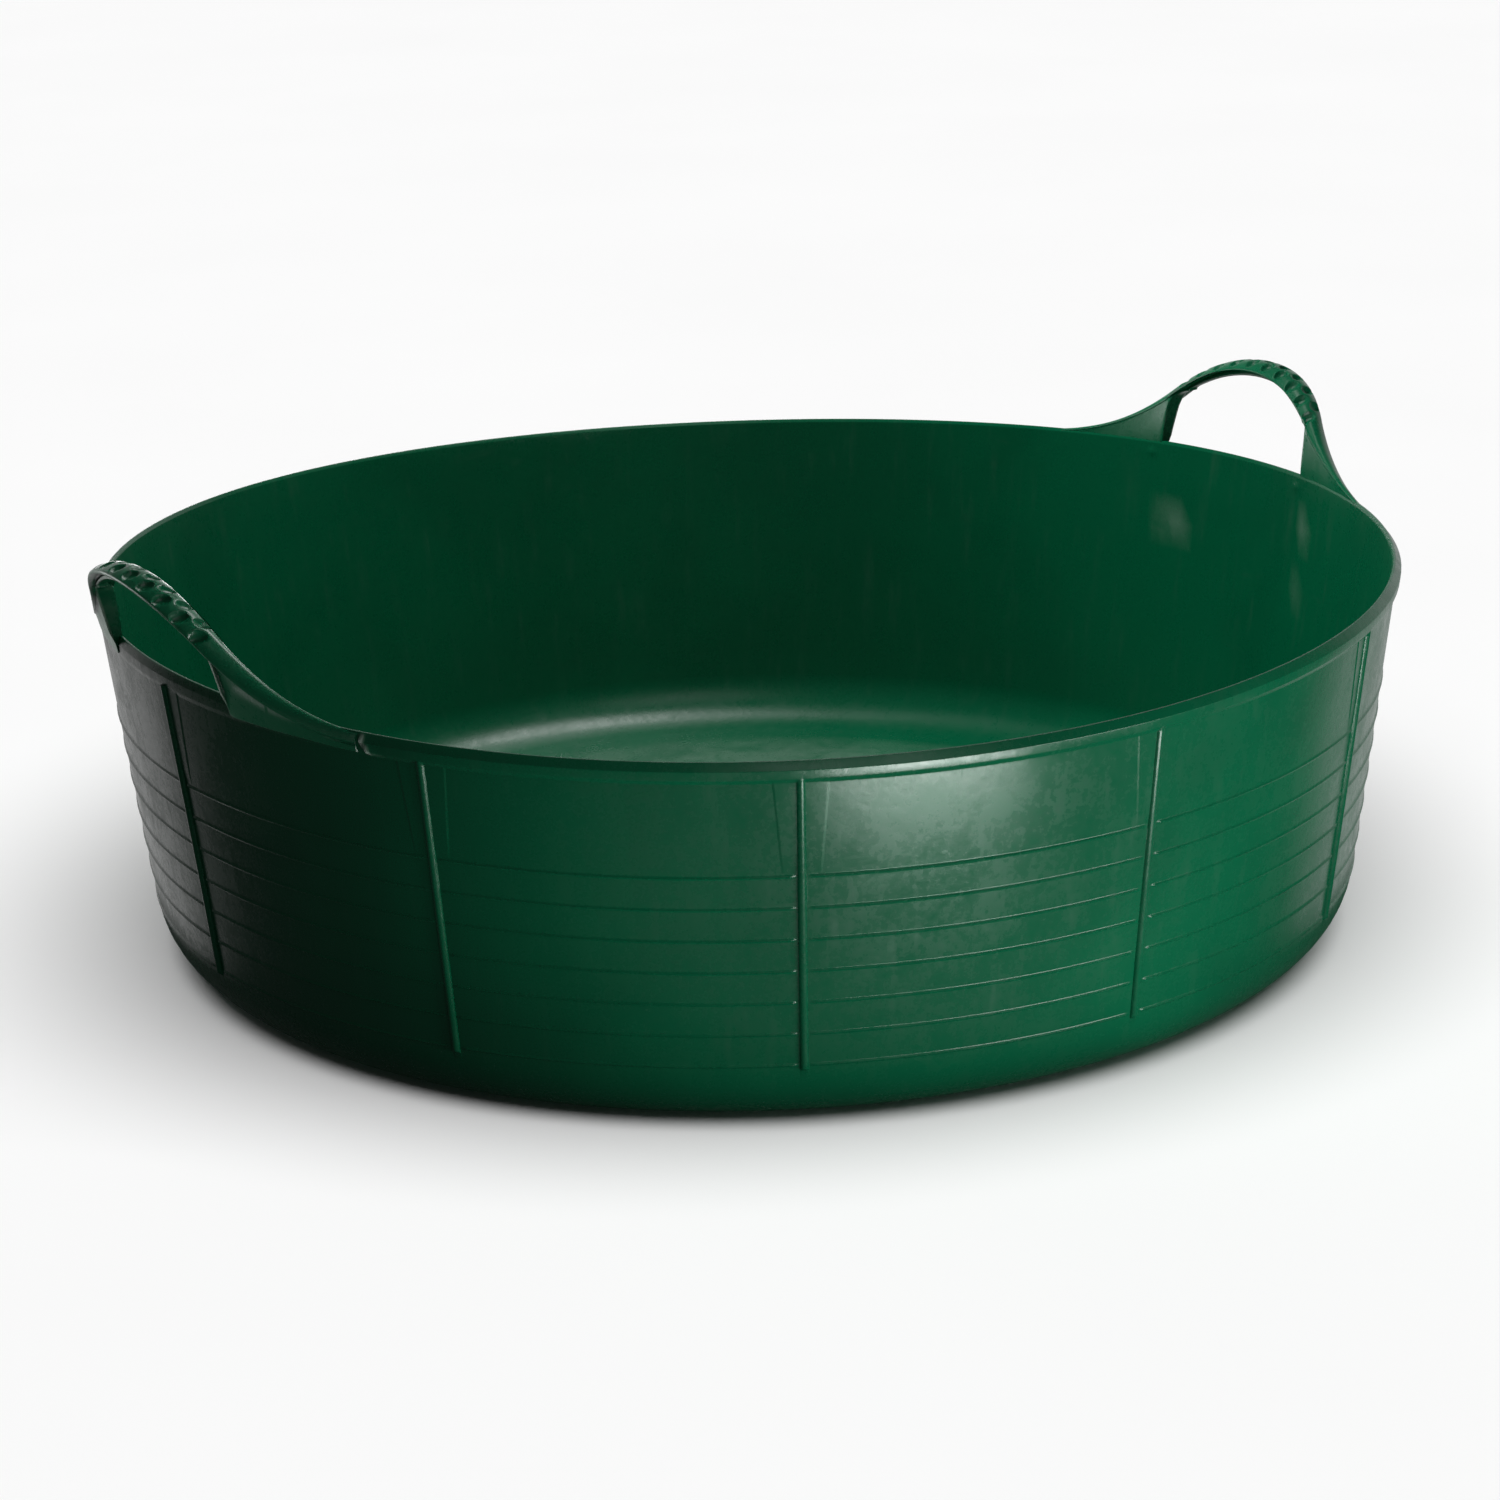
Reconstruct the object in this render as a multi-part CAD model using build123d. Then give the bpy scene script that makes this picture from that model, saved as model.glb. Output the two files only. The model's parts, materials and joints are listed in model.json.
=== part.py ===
from build123d import *
import math
import os

# Shallow round flexible mixing tub, moulded in one piece, in millimetres.
# The origin is the centre of the underside. Z is up, and the two handles stand on the X axis.

# Driving dimensions
RIM_INNER_RADIUS = 280.0  # inner edge of the rim crest
RIM_HEIGHT = 160.0  # rim crest above the ground
BASE_CORNER_RADIUS = 263.0  # where the outer wall line would meet the ground
WALL_THICKNESS = 2.8  # and the floor's
HEEL_RADIUS = 30.0  # outer bend between floor and wall

RIM_BAND_HEIGHT = 8.0  # thickened top of the wall
RIM_BAND_PROUD = 1.6  # band beyond the wall's outer face
RIM_EDGE_DROP = 3.2  # outer edge of the band below the crest
RIM_CREST_WIDTH = 1.6
RIM_INNER_BEVEL = 1.4
RIM_BAND_GAP_ANGLE = 24.5  # half angle of the plain rim under each handle, degrees

RIB_COUNT = 12
RIB_RADIUS = 1.7  # half-round vertical rib
LEVEL_RING_COUNT = 7
LEVEL_RING_FIRST = 29.0  # height of the lowest ring
LEVEL_RING_PITCH = 13.7
LEVEL_RING_PROUD = 0.5
LEVEL_RING_WIDTH = 1.2
LEVEL_RING_CLEAR_ANGLE = 0.6  # ring stops this far short of each rib, degrees

HANDLE_HEIGHT = 44.0  # crown above the rim crest
HANDLE_HALF_LENGTH = 116.0  # crown to the end of the flared foot
HANDLE_CROWN_RADIUS = 75.0
HANDLE_EDGE = 5.0  # depth of the grip strap below the outline
HANDLE_WEB_THICKNESS = 4.4
HANDLE_LEAN = math.radians(15.0)
STRAP_INNER_RUN = 4.0  # strap's inner edge moves out by this much from rim to crown
STRAP_OUTER_RUN = 15.0
STRAP_ROOT_WIDTH = 5.0

OPENING_HALF_WIDTH = 50.5
OPENING_SHOULDER = 49.5  # half width where the top arc starts
OPENING_SHOULDER_HEIGHT = 21.0
OPENING_HEIGHT = 36.5
OPENING_CORNER_RADIUS = 8.0
BEAD_WIDTH = 2.2  # raised edge round the hand opening, on the outside
BEAD_PROUD = 1.2

DIMPLES_PER_ROW = 10
DIMPLE_PITCH = 11.0
DIMPLE_BALL_RADIUS = 3.2
DIMPLE_DEPTH = 1.5
DIMPLE_ROW_OFFSET = 3.6  # each row from the middle of the strap

HINGE_RADIUS_FROM_CENTRE = 277.0  # the line that each handle bends about, at rim height
HINGE_ROLL_RADIUS = 10.0  # rounded root that stays with the rim
HINGE_CUT_HEIGHT = 7.0  # above the rim crest
HINGE_GAP = 0.3

# Worked out from the driving dimensions
TOP_OUTER_RADIUS = RIM_INNER_RADIUS + WALL_THICKNESS
DRAFT = math.atan((TOP_OUTER_RADIUS - BASE_CORNER_RADIUS) / RIM_HEIGHT)
HEEL_REACH = HEEL_RADIUS / math.tan((math.pi / 2 + DRAFT) / 2)
HEEL_CENTRE_RADIUS = BASE_CORNER_RADIUS - HEEL_REACH
BAND_BOTTOM = RIM_HEIGHT - RIM_BAND_HEIGHT
RIB_BOTTOM = HEEL_RADIUS * (1 - math.sin(DRAFT))
RIB_PITCH_ANGLE = 360.0 / RIB_COUNT
FOOT_RADIUS = (HANDLE_HALF_LENGTH**2 + HANDLE_HEIGHT**2) / (2 * HANDLE_HEIGHT) - HANDLE_CROWN_RADIUS


def outer_radius(height):
    """Outer face of the wall."""
    return BASE_CORNER_RADIUS + height * math.tan(DRAFT)


def inner_radius(height):
    """Inner face of the wall."""
    return outer_radius(height) - WALL_THICKNESS / math.cos(DRAFT)


def section(points):
    """Closed face in the XZ plane through (radius, height) points."""
    return make_face(Plane.XZ * Polyline(*points, close=True))


def turned(face, start, sweep):
    """Turn a section about the tub's axis, from a start angle over a sweep, in degrees."""
    return Rot(0, 0, start) * revolve(face, Axis.Z, revolution_arc=sweep)


def floor_panel():
    """Flat floor inside the heel."""
    return extrude(Circle(HEEL_CENTRE_RADIUS), WALL_THICKNESS)


def heel_ring():
    """Bend between the floor and the wall."""
    centre = (HEEL_CENTRE_RADIUS, HEEL_RADIUS)
    inner_bend = HEEL_RADIUS - WALL_THICKNESS

    def at(radius, angle):
        return (centre[0] + radius * math.cos(angle), centre[1] + radius * math.sin(angle))

    middle = (-math.pi / 2 - DRAFT) / 2
    outline = [
        ThreePointArc((centre[0], 0), at(HEEL_RADIUS, middle), at(HEEL_RADIUS, -DRAFT)),
        Line(at(HEEL_RADIUS, -DRAFT), at(inner_bend, -DRAFT)),
        ThreePointArc(at(inner_bend, -DRAFT), at(inner_bend, middle), (centre[0], WALL_THICKNESS)),
        Line((centre[0], WALL_THICKNESS), (centre[0], 0)),
    ]
    return revolve(make_face(Plane.XZ * Curve(outline)), Axis.Z)


def wall_panel(index):
    """Wall between two ribs, from the heel to the rim band."""
    inner_bend = HEEL_RADIUS - WALL_THICKNESS
    points = [
        (HEEL_CENTRE_RADIUS + HEEL_RADIUS * math.cos(DRAFT), HEEL_RADIUS - HEEL_RADIUS * math.sin(DRAFT)),
        (outer_radius(BAND_BOTTOM), BAND_BOTTOM),
        (inner_radius(BAND_BOTTOM), BAND_BOTTOM),
        (HEEL_CENTRE_RADIUS + inner_bend * math.cos(DRAFT), HEEL_RADIUS - inner_bend * math.sin(DRAFT)),
    ]
    return turned(section(points), index * RIB_PITCH_ANGLE, RIB_PITCH_ANGLE)


def wall_cone():
    """Everything inside the wall's outer face."""
    return Cone(
        BASE_CORNER_RADIUS,
        TOP_OUTER_RADIUS,
        RIM_HEIGHT,
        align=(Align.CENTER, Align.CENTER, Align.MIN),
    )


def stiffening_rib(index, cone):
    """Half-round rib on the outer face, from the rim band down to the heel."""
    start = Vector(outer_radius(RIB_BOTTOM), 0, RIB_BOTTOM)
    end = Vector(outer_radius(BAND_BOTTOM), 0, BAND_BOTTOM)
    along = end - start
    bar = Plane(origin=start, z_dir=along) * Cylinder(
        RIB_RADIUS,
        along.length,
        align=(Align.CENTER, Align.CENTER, Align.MIN),
    )
    trim = Pos(0, 0, BAND_BOTTOM) * Box(800, 800, 20, align=(Align.CENTER, Align.CENTER, Align.MIN))
    return Rot(0, 0, index * RIB_PITCH_ANGLE) * (bar - cone - trim)


def level_ring(index):
    """Fine raised ring round the outer face, broken at every rib."""
    height = LEVEL_RING_FIRST + index * LEVEL_RING_PITCH
    low = height - LEVEL_RING_WIDTH / 2
    high = height + LEVEL_RING_WIDTH / 2
    face = section(
        [
            (outer_radius(low), low),
            (outer_radius(height) + LEVEL_RING_PROUD, height),
            (outer_radius(high), high),
        ]
    )
    sweep = RIB_PITCH_ANGLE - 2 * LEVEL_RING_CLEAR_ANGLE
    starts = [step * RIB_PITCH_ANGLE + LEVEL_RING_CLEAR_ANGLE for step in range(RIB_COUNT)]
    return Compound([turned(face, start, sweep).solid() for start in starts])


def rim_band(middle_angle, sweep):
    """Thickened rim: crest at the inner edge, sloping out to a short upright face."""
    proud = outer_radius(BAND_BOTTOM) + RIM_BAND_PROUD
    bevel_height = RIM_HEIGHT - RIM_INNER_BEVEL
    points = [
        (inner_radius(BAND_BOTTOM), BAND_BOTTOM),
        (proud, BAND_BOTTOM),
        (proud + 0.4, RIM_HEIGHT - RIM_EDGE_DROP),
        (RIM_INNER_RADIUS + RIM_CREST_WIDTH, RIM_HEIGHT),
        (RIM_INNER_RADIUS + 0.6, RIM_HEIGHT),
        (inner_radius(bevel_height), bevel_height),
    ]
    return turned(section(points), middle_angle - sweep / 2, sweep)


def handle_outline(inset):
    """Face under the handle's bell outline, moved in by an inset; X along the rim, Y up from it."""
    crown_centre = (0, HANDLE_HEIGHT - HANDLE_CROWN_RADIUS)
    crown = HANDLE_CROWN_RADIUS - inset
    foot = FOOT_RADIUS + inset
    lean = math.asin(HANDLE_HALF_LENGTH / (HANDLE_CROWN_RADIUS + FOOT_RADIUS))
    join = (crown * math.sin(lean), crown_centre[1] + crown * math.cos(lean))
    half = lean / 2
    foot_middle = (HANDLE_HALF_LENGTH - foot * math.sin(half), FOOT_RADIUS - foot * math.cos(half))
    foot_end = (HANDLE_HALF_LENGTH, FOOT_RADIUS - foot)
    below = -RIM_BAND_HEIGHT

    def left(point):
        return (-point[0], point[1])

    outline = [
        ThreePointArc(left(join), (0, crown_centre[1] + crown), join),
        ThreePointArc(join, foot_middle, foot_end),
        Line(foot_end, (HANDLE_HALF_LENGTH, below)),
        Line((HANDLE_HALF_LENGTH, below), (-HANDLE_HALF_LENGTH, below)),
        Line((-HANDLE_HALF_LENGTH, below), left(foot_end)),
        ThreePointArc(left(foot_end), left(foot_middle), left(join)),
    ]
    return make_face(Curve(outline))


def opening_outline():
    """Hand opening: straight sides and an arched top with rounded corners."""
    shoulder = (OPENING_SHOULDER, OPENING_SHOULDER_HEIGHT)
    outline = [
        Line((-OPENING_HALF_WIDTH, 0), (OPENING_HALF_WIDTH, 0)),
        Line((OPENING_HALF_WIDTH, 0), shoulder),
        ThreePointArc(shoulder, (0, OPENING_HEIGHT), (-shoulder[0], shoulder[1])),
        Line((-shoulder[0], shoulder[1]), (-OPENING_HALF_WIDTH, 0)),
    ]
    face = make_face(Curve(outline))
    corners = [vertex for vertex in face.vertices() if vertex.Y > OPENING_SHOULDER_HEIGHT / 2]
    return fillet(corners, OPENING_CORNER_RADIUS)


def through_handle(face):
    """Drive a handle outline outwards along X, through the place where the right handle stands."""
    plane = Plane(origin=(0, 0, RIM_HEIGHT), x_dir=(0, 1, 0), z_dir=(1, 0, 0))
    return extrude(plane * Pos(0, 0, RIM_INNER_RADIUS - 40) * face, 80)


def leaning_band(inner_foot, inner_top, outer_foot, outer_top):
    """Curved slab above the rim between two cones, given their radii at the rim and at the crown."""
    top = RIM_HEIGHT + HANDLE_HEIGHT
    points = [(inner_foot, RIM_HEIGHT), (outer_foot, RIM_HEIGHT), (outer_top, top), (inner_top, top)]
    return turned(section(points), -RIM_BAND_GAP_ANGLE, 2 * RIM_BAND_GAP_ANGLE)


def strap_radius(height):
    """Radius of the middle of the grip strap at a height above the rim."""
    share = height / HANDLE_HEIGHT
    inner = RIM_INNER_RADIUS + STRAP_INNER_RUN * share
    outer = RIM_INNER_RADIUS + STRAP_ROOT_WIDTH + STRAP_OUTER_RUN * share
    return (inner + outer) / 2


def grip_dimples():
    """Two staggered rows of round dimples along the top of the strap."""
    centre_height = HANDLE_HEIGHT - HANDLE_CROWN_RADIUS
    ball_path = HANDLE_CROWN_RADIUS + DIMPLE_BALL_RADIUS - DIMPLE_DEPTH
    step = DIMPLE_PITCH / HANDLE_CROWN_RADIUS
    balls = []
    for row in (-1, 1):
        for place in range(DIMPLES_PER_ROW):
            angle = (place - (DIMPLES_PER_ROW - 1) / 2 + row / 4) * step
            across = ball_path * math.sin(angle)
            height = centre_height + ball_path * math.cos(angle)
            radius = strap_radius(height) + row * DIMPLE_ROW_OFFSET
            along = math.sqrt(radius**2 - across**2)
            balls.append(Pos(along, across, RIM_HEIGHT + height) * Sphere(DIMPLE_BALL_RADIUS))
    return balls


def right_handle():
    """The handle on +X: its moving pieces and its two fixed feet, by name."""
    rise = HANDLE_HEIGHT * math.tan(HANDLE_LEAN)
    web_outer = RIM_INNER_RADIUS + HANDLE_WEB_THICKNESS
    web_slab = leaning_band(RIM_INNER_RADIUS, RIM_INNER_RADIUS + rise, web_outer, web_outer + rise)
    bead_outer = web_outer + BEAD_PROUD
    bead_slab = leaning_band(web_outer, web_outer + rise, bead_outer, bead_outer + rise)
    strap_slab = leaning_band(
        RIM_INNER_RADIUS,
        RIM_INNER_RADIUS + STRAP_INNER_RUN,
        RIM_INNER_RADIUS + STRAP_ROOT_WIDTH,
        RIM_INNER_RADIUS + STRAP_ROOT_WIDTH + STRAP_OUTER_RUN,
    )
    opening = opening_outline()
    outline = through_handle(handle_outline(0))
    core = through_handle(handle_outline(HANDLE_EDGE))
    hole = through_handle(opening)
    bead_edge = through_handle(offset(opening, BEAD_WIDTH))

    strap = (strap_slab & outline) - core - hole
    web = (web_slab & core) - hole
    bead = (bead_slab & core & bead_edge) - hole

    axis_plane = Plane(origin=(HINGE_RADIUS_FROM_CENTRE, 0, RIM_HEIGHT), z_dir=(0, 1, 0))
    width = 2 * HANDLE_HALF_LENGTH + 20
    roll_hole = axis_plane * Cylinder(HINGE_ROLL_RADIUS + HINGE_GAP / 2, width)
    roll = axis_plane * Cylinder(HINGE_ROLL_RADIUS - HINGE_GAP / 2, width)
    cut = RIM_HEIGHT + HINGE_CUT_HEIGHT
    upper = Pos(RIM_INNER_RADIUS, 0, cut) * Box(
        120, width, 80, align=(Align.CENTER, Align.CENTER, Align.MIN)
    )
    lower = Pos(RIM_INNER_RADIUS, 0, cut - HINGE_GAP) * Box(
        120, width, 80, align=(Align.CENTER, Align.CENTER, Align.MAX)
    )
    moving = upper - roll_hole
    dimpled = (strap & moving) - grip_dimples()
    fixed = lower + roll
    roots = (strap + web + bead) & fixed
    back_side = Pos(RIM_INNER_RADIUS, 0, RIM_HEIGHT) * Box(
        120, width, 80, align=(Align.CENTER, Align.MIN, Align.CENTER)
    )
    front_leg, crown_web, back_leg = (web & moving).solids().sort_by(Axis.Y)
    return {
        "grip_strap": dimpled,
        "crown_web": crown_web,
        "back_leg": back_leg,
        "front_leg": front_leg,
        "opening_bead": bead & moving,
        "back_foot": roots & back_side,
        "front_foot": roots - back_side,
    }


def all_nodes():
    """Every piece of the tub, by node name."""
    nodes = {"floor_panel": floor_panel(), "heel_ring": heel_ring()}
    cone = wall_cone()
    for index in range(RIB_COUNT):
        nodes[f"wall_panel_{index + 1:02d}"] = wall_panel(index)
        nodes[f"stiffening_rib_{index + 1:02d}"] = stiffening_rib(index, cone)
    for index in range(LEVEL_RING_COUNT):
        nodes[f"level_ring_{index + 1}"] = level_ring(index)
    plain = 2 * RIM_BAND_GAP_ANGLE
    nodes["back_rim_band"] = rim_band(90, 180 - plain)
    nodes["front_rim_band"] = rim_band(270, 180 - plain)
    nodes["right_rim_band"] = rim_band(0, plain)
    nodes["left_rim_band"] = rim_band(180, plain)
    swapped = {
        "back_foot": "front_foot",
        "front_foot": "back_foot",
        "back_leg": "front_leg",
        "front_leg": "back_leg",
    }
    for name, shape in right_handle().items():
        nodes[f"right_{name}"] = shape
        nodes[f"left_{swapped.get(name, name)}"] = Rot(0, 0, 180) * shape
    return nodes


os.makedirs("parts", exist_ok=True)
for node, shape in all_nodes().items():
    export_step(shape, f"parts/{node}.step")
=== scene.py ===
import json
import math

import bmesh
import bpy
from mathutils import Matrix, Vector


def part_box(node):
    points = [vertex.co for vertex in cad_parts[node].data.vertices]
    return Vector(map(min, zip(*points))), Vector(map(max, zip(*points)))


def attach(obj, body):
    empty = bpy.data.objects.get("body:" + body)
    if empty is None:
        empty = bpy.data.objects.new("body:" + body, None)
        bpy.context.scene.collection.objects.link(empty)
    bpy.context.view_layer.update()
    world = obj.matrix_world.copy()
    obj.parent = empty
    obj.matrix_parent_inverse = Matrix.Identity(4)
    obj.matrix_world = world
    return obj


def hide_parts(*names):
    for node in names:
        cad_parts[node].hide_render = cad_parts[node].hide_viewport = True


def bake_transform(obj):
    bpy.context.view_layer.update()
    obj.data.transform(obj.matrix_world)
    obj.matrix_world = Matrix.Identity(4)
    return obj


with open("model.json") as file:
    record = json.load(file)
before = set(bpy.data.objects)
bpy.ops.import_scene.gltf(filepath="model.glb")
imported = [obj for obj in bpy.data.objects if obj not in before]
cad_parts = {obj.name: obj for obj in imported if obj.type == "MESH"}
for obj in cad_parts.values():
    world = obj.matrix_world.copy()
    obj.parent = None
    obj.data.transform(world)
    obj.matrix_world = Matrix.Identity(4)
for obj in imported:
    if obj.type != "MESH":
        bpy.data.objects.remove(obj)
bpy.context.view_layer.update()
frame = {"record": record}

# Driving sizes, in millimetres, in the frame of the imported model.
MM = 0.001
RIM_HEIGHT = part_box("front_rim_band")[1].z / MM
HANDLE_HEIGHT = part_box("right_grip_strap")[1].z / MM - RIM_HEIGHT
RIM_RADIUS = 280.0  # inner edge of the rim crest
BASE_CORNER_RADIUS = 263.0  # where the outer wall line would meet the ground
WALL = 2.8
HEEL_RADIUS = 30.0
RECESS_HEIGHT = 0.9  # of the underside, inside the ring that it stands on
RECESS_INSET = 24.0
BAND_HEIGHT = 8.0
BAND_PROUD = 1.6
BAND_EDGE_DROP = 3.2
BAND_END_ANGLE = 24.5  # each side of a handle, degrees
BAND_UNDER_HANDLE = 0.25  # share of the band that is left under a handle
BAND_END_SLANT = 1.1  # degrees that the band's end moves outwards over its height
LIP_PROUD = 0.6  # torn lip at the band's end, as a share of the band
LIP_WIDTH = 0.17  # degrees
# painted highlight on the lip at the band's end, by the lip's height
LIP_HIGHLIGHT_PALENESS = 2.2

RIB_COUNT = 12
RIB_PITCH = 360 / RIB_COUNT
RIB_RADIUS = 1.7
PAD_PROUD = 0.28  # faint tapered pads that flank each rib above the rings
PAD_TOP_HALF = 10.5
PAD_FOOT_HALF = 7.2
PAD_COLUMN = 2.16  # column of faces on a pad's edge, degrees from the rib
SLIDE_FROM = 0.7  # the columns between these angles slide with the pad's edge
SLIDE_TO = 4.3
RING_COUNT = 7
RING_FIRST = 29.0
RING_PITCH = 13.7
RING_PROUD = 0.55
RING_HALF_WIDTH = 0.75
RING_CLEAR_ANGLE = 0.6

CROWN_RADIUS = 75.0
HANDLE_HALF_LENGTH = 116.0
OPENING_HALF = 50.5
OPENING_SHOULDER = 49.5
OPENING_SHOULDER_HEIGHT = 21.0
OPENING_HEIGHT = 36.5
OPENING_CORNER = 8.0
FOOT_DEPTH = 7.5  # a handle's root goes this far below the rim crest
DIMPLES_PER_ROW = 10
DIMPLE_PITCH = 11.0
DIMPLE_DEPTH = 2.1
DIMPLE_HALF_ACROSS = 3.6
DIMPLE_HALF_ALONG = 2.9
DIMPLE_ROW_OFFSET = 3.1
GRIP_INNER = 4.0  # the grip's edges, outwards from the rim crest, at the crown
GRIP_OUTER = 20.0
FOOT_OUTER = 3.3
GRIP_EDGE = 1.35  # thickness of the grip's edges
GRIP_TOP_STEPS = 26
WEB_THICKNESS = 4.4  # from the rim crest to the web's outer face, at the foot
WEB_SLOPE = 0.24
WEB_SET_BACK = 0.27  # of the inner face under the crown, by height
BEAD_PROUD = 1.2
BEAD_WIDTH = 2.3
# Section of the bead: how far above the opening's edge, by width, and how proud
BEAD_SHAPE = ((0.82, 0.75), (0.68, 1.0), (0.4, 1.05), (0.18, 0.95), (0.05, 0.6))

# Scuffs inside under the right handle: angle, height, half length along the wall, half height
SCUFFS = ((7.5, 124, 15, 11), (-12.8, 133, 4, 9), (-13.5, 109, 4, 13))
SCUFF_PALENESS = 0.14
# painted sheen: the inside floor is painted paler where light sheens on it
FLOOR_SHEEN_PALENESS = 0.12

LEAN_OUT = {"right": 3.0, "left": 1.4}  # how far each soft grip has been pulled outwards
TURN = {"right": math.radians(-0.8), "left": 0.0}  # and how far along the rim
LEAN_CURVE = 1.6  # the lean grows smoothly over this many handle heights

SAG = 3.7  # the soft rim stands higher beside the handles and lower between them
SAG_ANGLE = math.radians(-29.0)
SAG_CURVE = 1.6  # how quickly the sag fades down the wall

HANDLE_ANGLES = (0, 180)
ON_WALL = 0.05  # a point less than this proud of the wall lies on it
SHARP_ANGLE = math.radians(50)
FILLET_STEPS = 3
HEEL_STEPS = 12

# Worked out from the driving sizes
DRAFT = math.atan((RIM_RADIUS + WALL - BASE_CORNER_RADIUS) / RIM_HEIGHT)
HEEL_CENTRE = BASE_CORNER_RADIUS - HEEL_RADIUS / math.tan((math.pi / 2 + DRAFT) / 2)
RIB_FOOT = HEEL_RADIUS * (1 - math.sin(DRAFT))
BAND_BOTTOM = RIM_HEIGHT - BAND_HEIGHT
RING_TOP = RING_FIRST + (RING_COUNT - 1) * RING_PITCH
FOOT_ARC_RADIUS = (HANDLE_HALF_LENGTH**2 + HANDLE_HEIGHT**2) / (2 * HANDLE_HEIGHT) - CROWN_RADIUS
JOIN_ANGLE = math.asin(HANDLE_HALF_LENGTH / (CROWN_RADIUS + FOOT_ARC_RADIUS))
CROWN_LENGTH = CROWN_RADIUS * JOIN_ANGLE
OUTLINE_LENGTH = CROWN_LENGTH + FOOT_ARC_RADIUS * JOIN_ANGLE


def smooth(value, low, high):
    """0 below low, 1 above high and a smooth rise between; low may be the larger."""
    t = min(1.0, max(0.0, (value - low) / (high - low)))
    return t * t * (3 - 2 * t)


def outer_radius(z):
    """Outer face of the wall at a height, without its ribs and rings."""
    return BASE_CORNER_RADIUS + z * math.tan(DRAFT)


def inner_radius(z):
    return outer_radius(z) - WALL / math.cos(DRAFT)


def settled(x, y, z):
    """A point in metres, lifted or lowered as the soft rim sags between the handles."""
    lift = SAG * math.cos(2 * (math.atan2(y, x) - SAG_ANGLE))
    share = min(1.0, max(0.0, z / RIM_HEIGHT)) ** SAG_CURVE
    return (x * MM, y * MM, (z + lift * share) * MM)


def mesh_object(name, points, faces, pale=None):
    """A smooth-shaded mesh; pale is how much of each point is painted a lighter green, for scuffs and for
    painted highlights.
    """
    mesh = bpy.data.meshes.new(name)
    mesh.from_pydata(points, [], faces)
    work = bmesh.new()
    work.from_mesh(mesh)
    bmesh.ops.recalc_face_normals(work, faces=work.faces)
    work.to_mesh(mesh)
    work.free()
    if pale is not None:
        mesh.attributes.new("pale", "FLOAT", "POINT").data.foreach_set("value", pale)
    mesh.shade_smooth()
    mesh.set_sharp_from_angle(angle=SHARP_ANGLE)
    piece = bpy.data.objects.new(name, mesh)
    bpy.context.scene.collection.objects.link(piece)
    return piece


def rounded(corners):
    """Points along a line of (radius, height, fillet) corners, each fillet a short arc."""
    line = [(corners[0][0], corners[0][1])]
    for before, here, after in zip(corners, corners[1:], corners[2:]):
        corner = Vector(here[:2])
        back = Vector(before[:2]) - corner
        ahead = Vector(after[:2]) - corner
        if here[2] == 0:
            line.append(tuple(corner))
            continue
        turn = math.pi - back.angle(ahead)
        reach = here[2] * math.tan(turn / 2)
        start = corner + back.normalized() * reach
        end = corner + ahead.normalized() * reach
        for step in range(FILLET_STEPS + 1):
            t = step / FILLET_STEPS
            line.append(tuple(start * (1 - t) ** 2 + corner * 2 * t * (1 - t) + end * t * t))
    line.append((corners[-1][0], corners[-1][1]))
    return line


def grid_faces(rows, columns):
    """Faces between rows of points, where each row closes on itself."""
    faces = []
    for row in range(rows - 1):
        low = row * columns
        high = low + columns
        for k in range(columns):
            nxt = (k + 1) % columns
            faces.append((low + k, low + nxt, high + nxt, high + k))
    return faces


# ---------------------------------------------------------------- the tub


def floor_rows():
    """Inside floor and heel, from the middle out and up to the wall."""
    rows = [(HEEL_CENTRE * share, WALL) for share in (0.02, 0.1, 0.3, 0.5, 0.7, 0.85, 0.94, 0.98)]
    bend = HEEL_RADIUS - WALL
    for step in range(HEEL_STEPS + 1):
        angle = -math.pi / 2 + (math.pi / 2 - DRAFT) * step / HEEL_STEPS
        rows.append((HEEL_CENTRE + bend * math.cos(angle), HEEL_RADIUS + bend * math.sin(angle)))
    return rows


def inner_wall_rows():
    """Inside of the wall, with close rows near the rim for the spots under the openings."""
    low = HEEL_RADIUS - (HEEL_RADIUS - WALL) * math.sin(DRAFT)
    top = RIM_HEIGHT - 10
    steps = 9
    rows = [low + (top - low) * step / steps for step in range(1, steps + 1)]
    rows += [RIM_HEIGHT - drop for drop in (8.5, 7.2, 6.0, 4.8, 3.6, 2.4)]
    return [(inner_radius(z), z) for z in rows]


def rim_rows():
    """Crest at the inner edge, a slope out to a rounded edge, and a short upright face."""
    proud = outer_radius(BAND_BOTTOM) + BAND_PROUD
    bevel = RIM_HEIGHT - 1.4
    corners = [
        (inner_radius(RIM_HEIGHT - 2.4), RIM_HEIGHT - 2.4, 0),
        (inner_radius(bevel), bevel, 0.9),
        (RIM_RADIUS + 0.5, RIM_HEIGHT, 0.3),
        (RIM_RADIUS + 1.4, RIM_HEIGHT - 0.05, 0.35),
        (proud + 0.5, RIM_HEIGHT - BAND_EDGE_DROP, 0.45),
        (proud + 0.1, BAND_BOTTOM + 1.0, 1.6),
        (outer_radius(BAND_BOTTOM - 2.2), BAND_BOTTOM - 1.0, 1.2),
        (outer_radius(BAND_BOTTOM - 5), BAND_BOTTOM - 5, 0),
    ]
    return rounded(corners)[1:]


def ring_share(z):
    """How much of a level ring's height there is at this height on the wall."""
    nearest = round((z - RING_FIRST) / RING_PITCH)
    if not 0 <= nearest < RING_COUNT:
        return 0.0
    away = abs(z - RING_FIRST - nearest * RING_PITCH) / RING_HALF_WIDTH
    return math.cos(away * math.pi / 2) ** 1.5 if away < 1 else 0.0


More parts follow.
